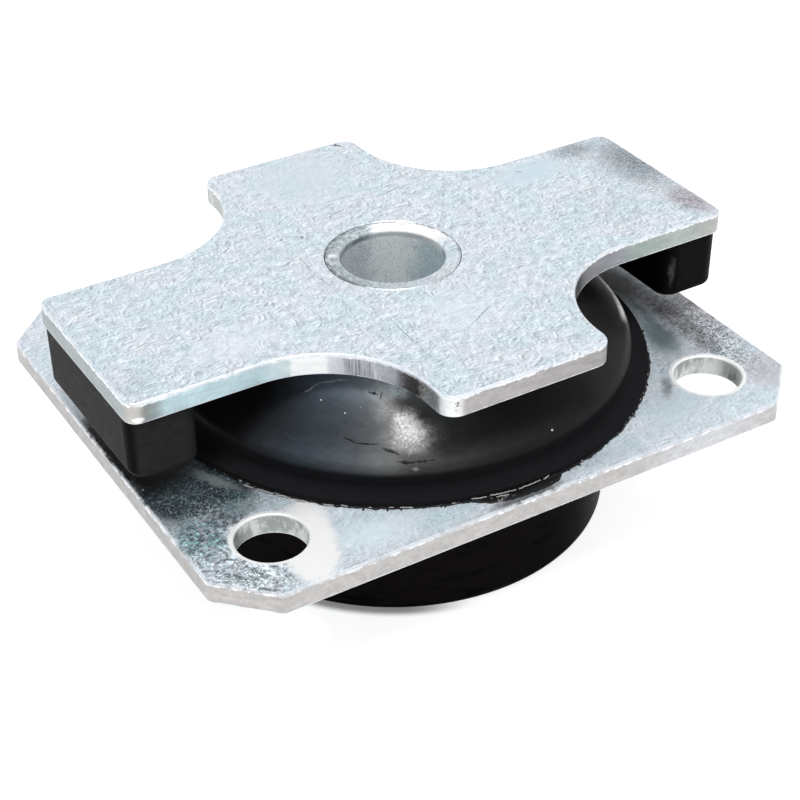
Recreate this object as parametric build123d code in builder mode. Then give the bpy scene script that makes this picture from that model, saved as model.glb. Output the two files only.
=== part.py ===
"""Bonded engine mount: a cross-shaped top plate on a rubber dome, over a four-hole base plate.

The rubber is one moulding that runs through the base plate's opening and ends in a drum below it.
Millimetres, +Z up, +X along the long arms. The origin is the centre of the drum's foot.
"""

import os

from build123d import *

# Driving sizes of the rubber body
drum_depth = 30.0
drum_step = 4.75
drum_foot_round = 2.0
opening_lap = 5.0
shoulder_radius = 53.5
shoulder_round = 3.5
skirt_straight = 0.6
skirt_root_round = 1.5
flange_lap = 4.0
flange_thickness = 1.4
neck_radius = 34.0
plate_spacing = 21.0

# Driving sizes of the base plate
base_thickness = 5.0
base_end_margin = 14.5
base_side_margin = 3.75
base_corner_cut = 11.0
base_corner_round = 2.0
bolt_diameter = 15.0
bolt_inset_x = 17.0
bolt_inset_y = 16.75
bolt_rim_round = 0.5

# Driving sizes of the top plate
top_thickness = 5.0
long_arm_width = 47.0
short_arm_width = 40.5
notch_radius = 25.0
long_arm_corner_radius = 3.0
short_arm_corner_radius = 4.0
arm_tip_straight = 2.0

# Driving sizes of the centre sleeve
bore_diameter = 23.0
sleeve_wall = 3.5
sleeve_foot_recess = 1.0
bore_mouth_round = 1.0
sleeve_joint_gap = 0.15
joint_edge_break = 0.15

# Driving sizes of the bumpers
bumper_thickness = 15.5
bumper_dome_gap = 5.0
bumper_end_inset = 0.1
bumper_side_inset = 0.5
bumper_stop_gap = 7.0
bumper_draft = 0.5
bumper_corner_round = 4.0
bumper_foot_round = 1.4

# Edges of both plates, rolled over on the punch side and broken on the other
plate_roll_over = 0.5
plate_edge_break = 0.2

# Heights from the drum's foot
base_top = drum_depth + base_thickness
top_underside = base_top + plate_spacing
overall_height = top_underside + top_thickness

# Radii about the centre line
sleeve_radius = bore_diameter / 2 + sleeve_wall
drum_radius = shoulder_radius - drum_step
opening_radius = drum_radius - opening_lap
flange_radius = shoulder_radius + flange_lap

# Outlines of the two plates
base_length = 2 * (flange_radius + base_end_margin)
base_width = 2 * (flange_radius + base_side_margin)
bolt_spacing_x = base_length - 2 * bolt_inset_x
bolt_spacing_y = base_width - 2 * bolt_inset_y
top_length = 2 * (shoulder_radius + bumper_dome_gap + bumper_thickness + bumper_end_inset)
top_width = long_arm_width + 2 * (notch_radius + arm_tip_straight + short_arm_corner_radius)

# Corners of the rubber body's section, as distance from the centre line and height
flange_top = base_top + flange_thickness
shoulder_height = flange_top + skirt_root_round + skirt_straight + shoulder_round
shoulder_point = (shoulder_radius, shoulder_height)
skirt_root_point = (shoulder_radius, flange_top)
drum_foot_point = (drum_radius, 0)

# Height and middle of each bumper
bumper_height = plate_spacing - bumper_stop_gap
bumper_middle = top_length / 2 - bumper_end_inset - bumper_thickness / 2
bumper_width = long_arm_width - 2 * bumper_side_inset


# Rubber body: dome, flange, waist in the base plate's opening and drum, revolved from one section
with BuildPart() as rubber_body:
    with BuildSketch(Plane.XZ) as body_section:
        with BuildLine():
            Polyline(
                (sleeve_radius, 0),
                drum_foot_point,
                (drum_radius, drum_depth),
                (opening_radius, drum_depth),
                (opening_radius, base_top),
                (flange_radius, base_top),
                (flange_radius, flange_top),
                skirt_root_point,
                shoulder_point,
                (neck_radius, top_underside),
                (sleeve_radius, top_underside),
                close=True,
            )
        make_face()
        fillet(body_section.vertices().sort_by_distance(drum_foot_point)[0], drum_foot_round)
        fillet(body_section.vertices().sort_by_distance(skirt_root_point)[0], skirt_root_round)
        fillet(body_section.vertices().sort_by_distance(shoulder_point)[0], shoulder_round)
    revolve(axis=Axis.Z)
rubber_body.part.label = "rubber_body"

# Base plate: rectangle with cut corners, the large opening and four bolt holes
with BuildPart() as base_plate:
    with BuildSketch(Plane.XY.offset(drum_depth)) as base_outline:
        Rectangle(base_length, base_width)
        chamfer(base_outline.vertices(), base_corner_cut)
        fillet(base_outline.vertices(), base_corner_round)
        Circle(opening_radius, mode=Mode.SUBTRACT)
    extrude(amount=base_thickness)
    fillet(base_plate.faces().sort_by(Axis.Z)[-1].outer_wire().edges(), plate_roll_over)
    chamfer(base_plate.faces().sort_by(Axis.Z)[0].outer_wire().edges(), plate_edge_break)
    with Locations(Plane.XY.offset(base_top)):
        with GridLocations(bolt_spacing_x, bolt_spacing_y, 2, 2):
            Hole(bolt_diameter / 2)
    fillet(base_plate.edges(Select.LAST).filter_by(GeomType.CIRCLE), bolt_rim_round)
base_plate.part.label = "base_plate"

# Top plate: two crossed bars, their inner corners opened into quarter-circle notches
with BuildPart() as top_plate:
    with BuildSketch(Plane.XY.offset(top_underside)) as cross_outline:
        Rectangle(top_length, long_arm_width)
        Rectangle(short_arm_width, top_width)
        fillet(cross_outline.vertices().sort_by_distance((0, 0))[:4], notch_radius)
        for along_arm, corner_radius in ((Axis.X, long_arm_corner_radius), (Axis.Y, short_arm_corner_radius)):
            corner_rows = cross_outline.vertices().group_by(along_arm)
            fillet(corner_rows[0] + corner_rows[-1], corner_radius)
        Circle(sleeve_radius + sleeve_joint_gap, mode=Mode.SUBTRACT)
    extrude(amount=top_thickness)
    fillet(top_plate.faces().sort_by(Axis.Z)[-1].outer_wire().edges(), plate_roll_over)
    chamfer(top_plate.faces().sort_by(Axis.Z)[-1].inner_wires().edges(), joint_edge_break)
    chamfer(top_plate.faces().sort_by(Axis.Z)[0].outer_wire().edges(), plate_edge_break)
top_plate.part.label = "top_plate"

# Centre sleeve: thick tube, flush with the top plate and set back a little at the drum's foot
with BuildPart() as centre_sleeve:
    with BuildSketch(Plane.XY.offset(sleeve_foot_recess)):
        Circle(sleeve_radius)
        Circle(bore_diameter / 2, mode=Mode.SUBTRACT)
    extrude(amount=overall_height - sleeve_foot_recess)
    end_rims = centre_sleeve.edges().filter_by(GeomType.CIRCLE).sort_by(SortBy.RADIUS)
    fillet(end_rims[:2], bore_mouth_round)
    chamfer(end_rims[2:], joint_edge_break)
centre_sleeve.part.label = "centre_sleeve"

# Bumpers: one drafted block under each end of the long arms
bumpers = []
for bumper_name, side in (("left_bumper", -1), ("right_bumper", 1)):
    with BuildPart() as bumper:
        with BuildSketch(Plane.XY.offset(top_underside)):
            with Locations((side * bumper_middle, 0)):
                RectangleRounded(bumper_thickness, bumper_width, bumper_corner_round)
        extrude(amount=-bumper_height, taper=bumper_draft)
        fillet(bumper.faces().sort_by(Axis.Z)[0].edges(), bumper_foot_round)
    bumper.part.label = bumper_name
    bumpers.append(bumper.part)

os.makedirs("parts", exist_ok=True)
for piece in (rubber_body.part, base_plate.part, top_plate.part, centre_sleeve.part, *bumpers):
    export_step(piece, f"parts/{piece.label}.step")
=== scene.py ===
"""Finish of a bonded engine mount: zinc plated plates, moulded rubber, moulding flash, burrs and dust.

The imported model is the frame. Its nodes keep their place and get their finish here, and the small
pieces that pressing and moulding leave on such a part are added round them. Lengths in the tables
below are millimetres, in the frame's axes; objects are made in metres.
"""

import math
import random

import bmesh
import bpy
from mathutils import Matrix, Vector, noise


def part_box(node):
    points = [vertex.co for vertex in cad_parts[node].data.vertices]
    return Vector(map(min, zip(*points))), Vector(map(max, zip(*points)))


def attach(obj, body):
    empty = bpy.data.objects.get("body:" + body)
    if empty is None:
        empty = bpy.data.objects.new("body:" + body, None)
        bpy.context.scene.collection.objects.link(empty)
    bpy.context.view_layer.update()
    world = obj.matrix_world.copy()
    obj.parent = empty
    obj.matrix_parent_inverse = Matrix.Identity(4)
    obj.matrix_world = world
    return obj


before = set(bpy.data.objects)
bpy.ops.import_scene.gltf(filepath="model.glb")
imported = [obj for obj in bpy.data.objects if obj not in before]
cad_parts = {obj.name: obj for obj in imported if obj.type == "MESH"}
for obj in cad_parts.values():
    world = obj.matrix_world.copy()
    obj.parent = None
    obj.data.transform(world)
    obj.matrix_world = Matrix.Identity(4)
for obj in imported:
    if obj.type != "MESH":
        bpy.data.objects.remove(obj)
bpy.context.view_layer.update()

bl_info = {
    "name": "Engine mount finish",
    "version": (1, 0, 0),
    "blender": (4, 5, 0),
    "location": "View3D > Sidebar > Mount",
    "description": "Plating, rubber, flash, burrs and dust of a bonded engine mount",
    "category": "Object",
}

MM = 0.001


def box_mm(node):
    """Lowest and highest corner of a node, in millimetres."""
    low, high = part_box(node)
    return low / MM, high / MM


TOP_LOW, TOP_HIGH = box_mm("top_plate")
BASE_LOW, BASE_HIGH = box_mm("base_plate")
FLANGE_RADIUS = box_mm("rubber_body")[1].x

# Outline of the plates, which the boxes alone don't give
LONG_ARM_WIDTH = 47
SHORT_ARM_WIDTH = 40.5
NOTCH_RADIUS = 25
LONG_ARM_CORNER = 3
SHORT_ARM_CORNER = 4
BASE_CORNER_CUT = 11
BOLT_HOLE_RADIUS = 7.5
BOLT_INSET = (17, 16.75)


# Shader maths


def rgba(tint):
    """A tint with its alpha; a single number is a grey."""
    red, green, blue = (tint, tint, tint) if isinstance(tint, (int, float)) else tint
    return red, green, blue, 1


class Field:
    """A value, vector or colour in a node tree, with Python's operators for its maths."""

    def __init__(self, tree, socket):
        self.tree = tree
        self.socket = socket
        self.is_vector = socket.type in {"VECTOR", "RGBA"}

    def _maths(self, operation, *terms):
        vector = any(isinstance(t, tuple) or getattr(t, "is_vector", False) for t in terms)
        kind = "ShaderNodeVectorMath" if vector else "ShaderNodeMath"
        return self.tree.node(kind, {"operation": operation}, dict(enumerate(terms)))

    def __add__(self, other):
        return self._maths("ADD", self, other)

    def __radd__(self, other):
        return self._maths("ADD", other, self)

    def __sub__(self, other):
        return self._maths("SUBTRACT", self, other)

    def __rsub__(self, other):
        return self._maths("SUBTRACT", other, self)

    def __mul__(self, other):
        if self.is_vector and not isinstance(other, tuple) and not getattr(other, "is_vector", False):
            return self.tree.node("ShaderNodeVectorMath", {"operation": "SCALE"}, {0: self, 3: other})
        return self._maths("MULTIPLY", self, other)

    def __rmul__(self, other):
        return self * other

    def __truediv__(self, other):
        return self._maths("DIVIDE", self, other)

    def __abs__(self):
        return self._maths("ABSOLUTE", self)

    def least(self, other):
        return self._maths("MINIMUM", self, other)

    def most(self, other):
        return self._maths("MAXIMUM", self, other)

    def _measure(self, operation, *terms):
        """A number that comes from vectors."""
        return self.tree.node("ShaderNodeVectorMath", {"operation": operation}, dict(enumerate(terms)), 1)

    def length(self):
        return self._measure("LENGTH", self)

    def dot(self, other):
        return self._measure("DOT_PRODUCT", self, other)

    def distance(self, other):
        return self._measure("DISTANCE", self, other)

    def bearing(self):
        """Angle of a place about Z, in degrees from +X."""
        return self._maths("ARCTAN2", self.part(1), self.part(0)) * math.degrees(1)

    def part(self, axis):
        return self.tree.node("ShaderNodeSeparateXYZ", {}, {0: self}, axis)

    def rise(self, low, high):
        """0 below low, 1 above high, smooth between; low above high makes it fall."""
        if low > high:
            return 1 - self.rise(high, low)
        span = {0: self, 1: low, 2: high}
        return self.tree.node("ShaderNodeMapRange", {"interpolation_type": "SMOOTHSTEP"}, span)

    def band(self, start, full, fade, end):
        """1 from full to fade, and 0 before start and after end."""
        return self.rise(start, full) * self.rise(end, fade)


class Tree:
    """A node tree under construction."""

    def __init__(self, tree):
        self.tree = tree

    def node(self, kind, settings, sockets, out=0):
        """A new node: its settings first, then the values or links of its sockets. Gives one output."""
        made = self.tree.nodes.new(kind)
        for name, value in settings.items():
            if name == "stops":
                self.set_stops(made.color_ramp, value)
            else:
                setattr(made, name, value)
        for key, value in sockets.items():
            if isinstance(value, Field):
                self.tree.links.new(value.socket, made.inputs[key])
            else:
                made.inputs[key].default_value = value
        return Field(self, made.outputs[out]) if made.outputs else made

    @staticmethod
    def set_stops(ramp, stops):
        """Gives a colour ramp its stops, each a place of 0 to 1 and a colour."""
        for place, colour in stops[1:-1]:
            ramp.elements.new(place).color = rgba(colour)
        for element, (place, colour) in ((ramp.elements[0], stops[0]), (ramp.elements[-1], stops[-1])):
            element.position = place
            element.color = rgba(colour)

    def ramp(self, value, stops):
        """Colour that follows a value from stop to stop."""
        first, last = stops[0][0], stops[-1][0]
        share = (value - first) / (last - first)
        shares = [((place - first) / (last - first), colour) for place, colour in stops]
        return self.node("ShaderNodeValToRGB", {"stops": shares}, {0: share})

    def blend(self, share, low, high, how="MIX"):
        """Colour low where share is 0 and high where it is 1; how is the Mix node's way of mixing."""
        low, high = (c if isinstance(c, Field) else rgba(c) for c in (low, high))
        settings = {"data_type": "RGBA", "blend_type": how}
        return self.node("ShaderNodeMix", settings, {0: share, 6: low, 7: high}, 2)

    def noise(self, place, size, detail=2, rough=0.5, warp=0, out=0):
        """Cloudy value of about 0.5, with lumps of the given size; output 1 is three such values."""
        names = ("Vector", "Scale", "Detail", "Roughness", "Distortion")
        sockets = dict(zip(names, (place, 1 / size, detail, rough, warp)))
        return self.node("ShaderNodeTexNoise", {}, sockets, out)

    def cells(self, place, size):
        """A random value for each grain of the given size."""
        return self.node("ShaderNodeTexVoronoi", {}, {"Vector": place, "Scale": 1 / size}, 1).part(0)

    def veins(self, place, size, width, warp):
        """1 on thin winding lines, the given share of a lump wide."""
        wander = self.noise(place, size, 3, 0.55, warp)
        return abs(wander - 0.5).rise(width, 0)

    def stroke(self, place, start, end, width):
        """1 along a straight scratch between two points, thin at its ends."""
        along = Vector(end) - Vector(start)
        offset = place - tuple(start)
        share = offset.dot(tuple(along / along.length_squared)).most(0).least(1)
        reach = self.node("ShaderNodeVectorMath", {"operation": "SCALE"}, {0: tuple(along), 3: share})
        taper = 1.15 - abs(share - 0.5) * 1.7
        return ((offset - reach).length() / taper).rise(width, width * 0.4)


# Outputs of the Texture Coordinate node
NORMAL = 1
OBJECT_PLACE = 3

# Size of the noise that makes blots ragged, and how far it shifts a blot and a scratch
SWAY_SIZE = 1 / 0.45
BLOT_SWAY = 3
SCRATCH_SWAY = 0.9


class Finish(Tree):
    """A material under construction, on the object's own coordinates in millimetres."""

    x = property(lambda self: self.place.part(0))
    y = property(lambda self: self.place.part(1))
    z = property(lambda self: self.place.part(2))

    def __init__(self, name):
        self.material = bpy.data.materials.new(name)
        self.material.use_nodes = True
        super().__init__(self.material.node_tree)
        self.tree.nodes.clear()
        self.place = self.node("ShaderNodeTexCoord", {}, {}, OBJECT_PLACE) * (1 / MM)
        self.facing = self.node("ShaderNodeTexCoord", {}, {}, NORMAL)
        sway = self.noise(self.place, SWAY_SIZE, 3, out=1) - (0.5, 0.5, 0.5)
        self.loose = self.place + sway * BLOT_SWAY
        self.nearly = self.place + sway * SCRATCH_SWAY

    def patch(self, centre, reach, turn, soft, steady=False):
        """1 inside a blot, ragged unless steady: half sizes in reach, turned about Z by degrees."""
        place = self.place if steady else self.loose
        sockets = {0: place, 1: centre, 2: (0, 0, math.radians(turn)), 3: reach}
        ball = self.node("ShaderNodeMapping", {"vector_type": "TEXTURE"}, sockets)
        return ball.length().rise(1, 1 - soft)

    def paint(self, colour, blots, texture=1, steady=False):
        """Lays blots over a colour, as strong as the texture lets them."""
        for centre, reach, turn, soft, tint, share in blots:
            blot = self.patch(centre, reach, turn, soft, steady)
            colour = self.blend(blot * texture * share, colour, tint)
        return colour

    def surface(self, sockets, bump, bump_height):
        """Ends the tree in a principled surface; bump is a height of 0 to 1, as tall as bump_height."""
        relief = {"Distance": bump_height * MM, "Height": bump}
        sockets["Normal"] = self.node("ShaderNodeBump", {}, relief)
        shader = self.node("ShaderNodeBsdfPrincipled", {}, sockets)
        self.node("ShaderNodeOutputMaterial", {}, {"Surface": shader})
        return self.material


def put_on(node, material):
    """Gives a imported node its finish, in its material slots."""
    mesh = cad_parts[node].data
    if not mesh.materials:
        mesh.materials.append(material)
    for index in range(len(mesh.materials)):
        mesh.materials[index] = material


# Zinc plated steel


class PlatingSizes(bpy.types.PropertyGroup):
    """Colours and grain of the zinc plating."""

    cool_tint: bpy.props.FloatVectorProperty(
        name="Cool tint",
        description="Plating where it looks bluish",
        default=(0.645, 0.745, 0.81),
        size=3,
        subtype="COLOR",
    )
    warm_tint: bpy.props.FloatVectorProperty(
        name="Warm tint",
        description="Plating where it looks grey",
        default=(0.7, 0.75, 0.815),
        size=3,
        subtype="COLOR",
    )
    # Dark grain, scratches and seam of the plating, and also the painted shadow line just inside the
    # plates' edges
    stain_and_shadow_tint: bpy.props.FloatVectorProperty(
        name="Stain tint",
        description="Dark grain of the plating",
        default=(0.13, 0.15, 0.17),
        size=3,
        subtype="COLOR",
    )
    # Painted highlight of the plates' rolled edges, their lower edges and the line beside them
    rim_highlight_tint: bpy.props.FloatVectorProperty(
        name="Rim tint",
        description="Bright rolled edges",
        default=(0.84, 0.87, 0.92),
        size=3,
        subtype="COLOR",
    )
    wall_tint: bpy.props.FloatVectorProperty(
        name="Wall tint",
        description="Sheared side walls of the plates",
        default=(0.47, 0.46, 0.45),
        size=3,
        subtype="COLOR",
    )
    grain: bpy.props.FloatProperty(
        name="Grain",
        description="Size of the plating's creases, in millimetres",
        default=1.5,
        min=0.2,
        max=5,
    )
    emboss: bpy.props.FloatProperty(
        name="Emboss",
        description="Contrast of the creases, lit from one side",
        default=1.7,
        min=0,
        max=4,
    )
    relief: bpy.props.FloatProperty(
        name="Relief",
        description="Height of the speckle, in millimetres",
        default=0.03,
        min=0,
        max=0.2,
    )


# Tints of the plating's blots
NAVY = (0.012, 0.022, 0.03)
NIGHT_BLUE = (0.09, 0.13, 0.155)
SMOKE = (0.05, 0.047, 0.045)
UMBER = (0.075, 0.07, 0.073)
TEAL = (0.25, 0.55, 0.56)
PALE_CYAN = (0.72, 0.87, 0.92)
GREEN_GREY = (0.33, 0.39, 0.37)
MID_GREY = (0.3, 0.345, 0.36)
ROSE_GREY = (0.5, 0.46, 0.5)
SOOT = (0.07, 0.065, 0.06)
WHITE = 1

# How far a blot and a spot reach into a plate
BLOT_DEPTH = 3
SPOT_DEPTH = 2

# A blot on a plate's face: its centre and its half sizes in plan, its turn about Z, the soft share of
# its size, its tint and its strength
TOP_CLOUDS = (
    ((48, 16), (17, 8), 0, 0.9, (0.6, 0.74, 0.83), 0.6),
    ((0, 40), (18, 15), 0, 0.9, (0.62, 0.73, 0.8), 0.5),
    ((-46, -14), (16, 8), 0, 1, (0.8, 0.86, 0.93), 0.5),
    ((0, -28), (15, 14), 0, 1, (0.77, 0.86, 0.92), 0.5),
    ((73, 8), (15, 21), 0, 0.9, (0.36, 0.41, 0.455), 0.85),
    ((72, -15), (8, 11), 0, 0.9, ROSE_GREY, 0.7),
    ((63, 20), (7, 5), 0, 0.9, (0.36, 0.4, 0.44), 0.6),
    ((-74, 0), (4, 24), 0, 0.9, (0.55, 0.66, 0.72), 0.5),
)
TOP_STREAKED = (
    ((71, 7), (9, 18), -8, 0.9, (0.06, 0.068, 0.08), 0.75),
    ((70.5, -14), (6, 10), 0, 0.9, (0.12, 0.09, 0.11), 0.8),
    ((62, 20), (9, 6), 10, 0.9, (0.06, 0.068, 0.08), 0.65),
    ((54, -8), (16, 16), 0, 1, SMOKE, 0.16),
    ((-70, -17), (6, 8), 0, 0.9, SMOKE, 0.25),
)
TOP_SPOTS = (
    ((15.2, 53), (1, 0.8), 0, 0.5, SMOKE, 0.9),
    ((15.9, 52.2), (0.5, 0.9), 0, 0.5, SMOKE, 0.6),
    ((-13.7, 17.3), (0.45, 0.45), 0, 0.5, SMOKE, 0.8),
    ((-11, 5.5), (0.3, 0.3), 0, 0.5, WHITE, 1),
)

# A scratch: its two ends in plan and its width
TOP_SCRATCHES = (
    ((-18, 9.5), (-18.9, 1.1), 0.22),
    ((-18.9, 1.1), (-18.2, -5.8), 0.2),
    ((-14.2, -23), (-14.6, -33.5), 0.28),
    ((25.6, 19.6), (23.2, 16), 0.26),
    ((44.6, 18.6), (45.8, 16.8), 0.34),
    ((23, 26.5), (6, 24.5), 0.24),
    ((6, 24.5), (-8, 21.6), 0.2),
    ((9.5, -27.5), (-2, -34), 0.26),
    ((66, -14), (72.5, -22), 0.25),
    ((68.5, -12), (73, -17), 0.25),
)

# Blots on the side walls, with their height; the corner glint is a painted highlight
LEFT_END_WALL = ((-74.1, 0, 58.5), (3, 23, 9), 0, 0.15, MID_GREY, 1)
LEFT_CORNER_GLINT = ((-72, -23.5, 57), (1.6, 2, 0.8), 0, 0.5, WHITE, 1)

# Painted reflections on the cross plate's near wall, from its left end to its right end: each tint stands
# for what the wall mirrors there, with a white highlight band in the front left notch and a bright glint by
# the front arm's left corner
NEAR_WALL_REFLECTIONS = (
    (-74.1, (0.52, 0.51, 0.48)),
    (-71.5, (0.52, 0.51, 0.48)),
    (-70.5, (0.3, 0.32, 0.31)),
    (-68.4, (0.36, 0.42, 0.42)),
    (-66, (0.57, 0.73, 0.78)),
    (-45, (0.6, 0.76, 0.8)),
    (-39, (0.7, 0.78, 0.8)),
    (-38.2, WHITE),
    (-32.2, WHITE),
    (-31.8, (0.75, 0.75, 0.8)),
    (-29.4, (0.66, 0.67, 0.71)),
    (-28.9, (0.4, 0.4, 0.44)),
    (-25.6, (0.46, 0.46, 0.5)),
    (-24.6, (0.62, 0.63, 0.68)),
    (-22.1, (0.6, 0.61, 0.66)),
    (-21.7, (0.12, 0.11, 0.11)),
    (-20.3, (0.085, 0.075, 0.075)),
    (-20.2, (0.85, 0.87, 0.87)),
    (-17.4, (0.8, 0.82, 0.82)),
    (-16, (0.42, 0.4, 0.4)),
    (12, (0.36, 0.345, 0.345)),
    (20, (0.34, 0.33, 0.33)),
    (28.5, (0.05, 0.055, 0.06)),
    (30.5, (0.07, 0.075, 0.08)),
    (31.5, (0.2, 0.2, 0.205)),
    (45, (0.32, 0.33, 0.36)),
    (49, GREEN_GREY),
    (66, (0.38, 0.42, 0.4)),
    (73, (0.46, 0.46, 0.44)),
)

# Clouds of the plating's tone; the very dark blot under the right bumper is painted shade
BASE_CLOUDS_AND_SHADE = (
    ((-36, -54), (13, 7), 0, 0.9, (0.78, 0.9, 0.97), 0.9),
    ((-22, -57), (9, 5), 0, 0.8, PALE_CYAN, 0.7),
    ((18, -57), (16, 5), 0, 0.9, (0.5, 0.6, 0.66), 0.7),
    ((40, -51), (16, 9), 30, 0.9, (0.58, 0.68, 0.76), 0.8),
    ((67, -50), (8, 13), 0, 0.9, (0.5, 0.49, 0.53), 0.7),
    ((-67, -52), (10, 12), 0, 0.9, (0.5, 0.6, 0.65), 0.7),
    ((56, -25), (5, 14), 0, 0.8, (0.42, 0.5, 0.54), 0.8),
    ((70.5, -22), (5, 20), 0, 0.8, (0.44, 0.44, 0.46), 0.8),
    ((56.5, -27), (1.3, 9), -14, 0.8, PALE_CYAN, 0.5),
    ((58.6, -18), (1.5, 15), -8, 0.7, (0.25, 0.33, 0.36), 0.8),
    ((56, -26), (6, 12), -22, 0.8, (0.13, 0.18, 0.205), 0.9),
    ((72.5, -50), (5, 16), 0, 0.9, (0.5, 0.53, 0.57), 0.7),
    ((61.5, -2), (8, 13), 0, 0.7, (0.05, 0.05, 0.052), 0.9),
)
# Painted shade and reflection in navy under the left arm and bumper, painted shade beside the right bumper,
# and stains
BASE_SHADE_AND_STAINS = (
    ((-62.5, -21.5), (14, 13.5), 0, 0.4, NAVY, 1),
    ((-54, -27), (5.5, 6), 35, 0.6, NAVY, 0.9),
    ((-67, -37), (8, 10), 0, 0.8, NIGHT_BLUE, 0.9),
    ((64, -20), (5, 20), -3, 0.7, (0.12, 0.12, 0.135), 0.75),
    ((63, -35), (5, 6), 0, 0.9, UMBER, 0.5),
    ((44.5, -43.5), (1.8, 6.5), -38, 0.8, SMOKE, 0.6),
    ((-4, -60), (12, 2), 0, 0.6, SMOKE, 0.8),
    ((-59.5, -33.5), (9, 5.5), 8, 0.8, NIGHT_BLUE, 0.85),
)
BASE_DARK_FLECKS = (
    ((-66, -48), (8, 13), 0, 0.8, (0.1, 0.15, 0.18), 0.7),
    ((-52, -31), (6, 6), 35, 0.8, NAVY, 0.8),
    ((65.5, -28), (9, 30), -3, 0.8, (0.05, 0.045, 0.055), 1),
    ((12, -57.5), (10, 2.5), 8, 0.8, SMOKE, 0.4),
    ((-22, -57), (10, 4), 0, 0.8, (0.12, 0.3, 0.32), 0.4),
    ((-62, -54), (13, 11), 0, 0.8, (0.07, 0.1, 0.13), 0.65),
    ((50, -37), (6, 8), -30, 0.9, SMOKE, 0.35),
    ((57, -22), (4, 16), -8, 0.9, (0.12, 0.17, 0.19), 0.6),
)
BASE_PALE_FLECKS = (
    ((-62, -22), (13, 11), 0, 0.4, (0.26, 0.35, 0.39), 0.85),
    ((-63, -53), (13, 10), 0, 0.8, (0.9, 0.97, 1), 0.9),
    ((-59, -31), (13, 4.5), -8, 0.8, (0.5, 0.6, 0.64), 0.9),
    ((-67, -37), (7.5, 9), 0, 0.8, (0.4, 0.75, 0.77), 1),
    ((-56, -30.5), (6, 4), 20, 0.8, TEAL, 0.6),
    ((65, -22), (7, 20), 0, 0.7, (0.42, 0.41, 0.44), 0.95),
)

# Painted pool of light by the front left hole, white
BASE_LIT_PATCH = (
    ((-49.4, -50), (6.6, 16), -20, 0.35, WHITE, 1),
    ((-44.5, -41), (5, 7), -20, 0.8, WHITE, 0.8),
)

# Dark mirror image of the left bumper, with the dull streak beside it
BASE_MIRRORED = (
    ((-56.5, -21), (2.2, 10), 27, 0.7, (0.27, 0.31, 0.32), 0.85),
    ((-65, -1.5), (12, 18.5), 0, 0.25, 0.004, 0.97),
)

BASE_LEFT_WALL = ((-72, 0, 32.5), (3, 51, 9), 0, 0.1, (0.38, 0.38, 0.375), 1)
BASE_FRONT_WALL = ((42, -61.2, 32.5), (24, 3, 9), 0, 0.8, (0.56, 0.58, 0.61), 0.9)


def top_margin(place):
    """Distance from the cross-shaped outline, inwards."""
    across = abs(place) * (1, 1, 0)
    notch = (SHORT_ARM_WIDTH / 2 + NOTCH_RADIUS, LONG_ARM_WIDTH / 2 + NOTCH_RADIUS, 0)
    from_notch = (across * -1 + notch).most((0, 0, 0)).length() - NOTCH_RADIUS
    from_tips = (TOP_HIGH.x - across.part(0)).least(TOP_HIGH.y - across.part(1))
    return from_notch.least(from_tips)


def base_margin(place):
    """Distance from the base plate's outline."""
    across = abs(place)
    sides = (BASE_HIGH.x - across.part(0)).least(BASE_HIGH.y - across.part(1))
    cut = (BASE_HIGH.x + BASE_HIGH.y - BASE_CORNER_CUT - across.part(0) - across.part(1)) * math.sqrt(0.5)
    return sides.least(cut)


def from_bolt_hole(place):
    """Distance from the nearest bolt hole's wall."""
    hole = (BASE_HIGH.x - BOLT_INSET[0], BASE_HIGH.y - BOLT_INSET[1], 0)
    return (abs(place) * (1, 1, 0)).distance(hole) - BOLT_HOLE_RADIUS


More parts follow.
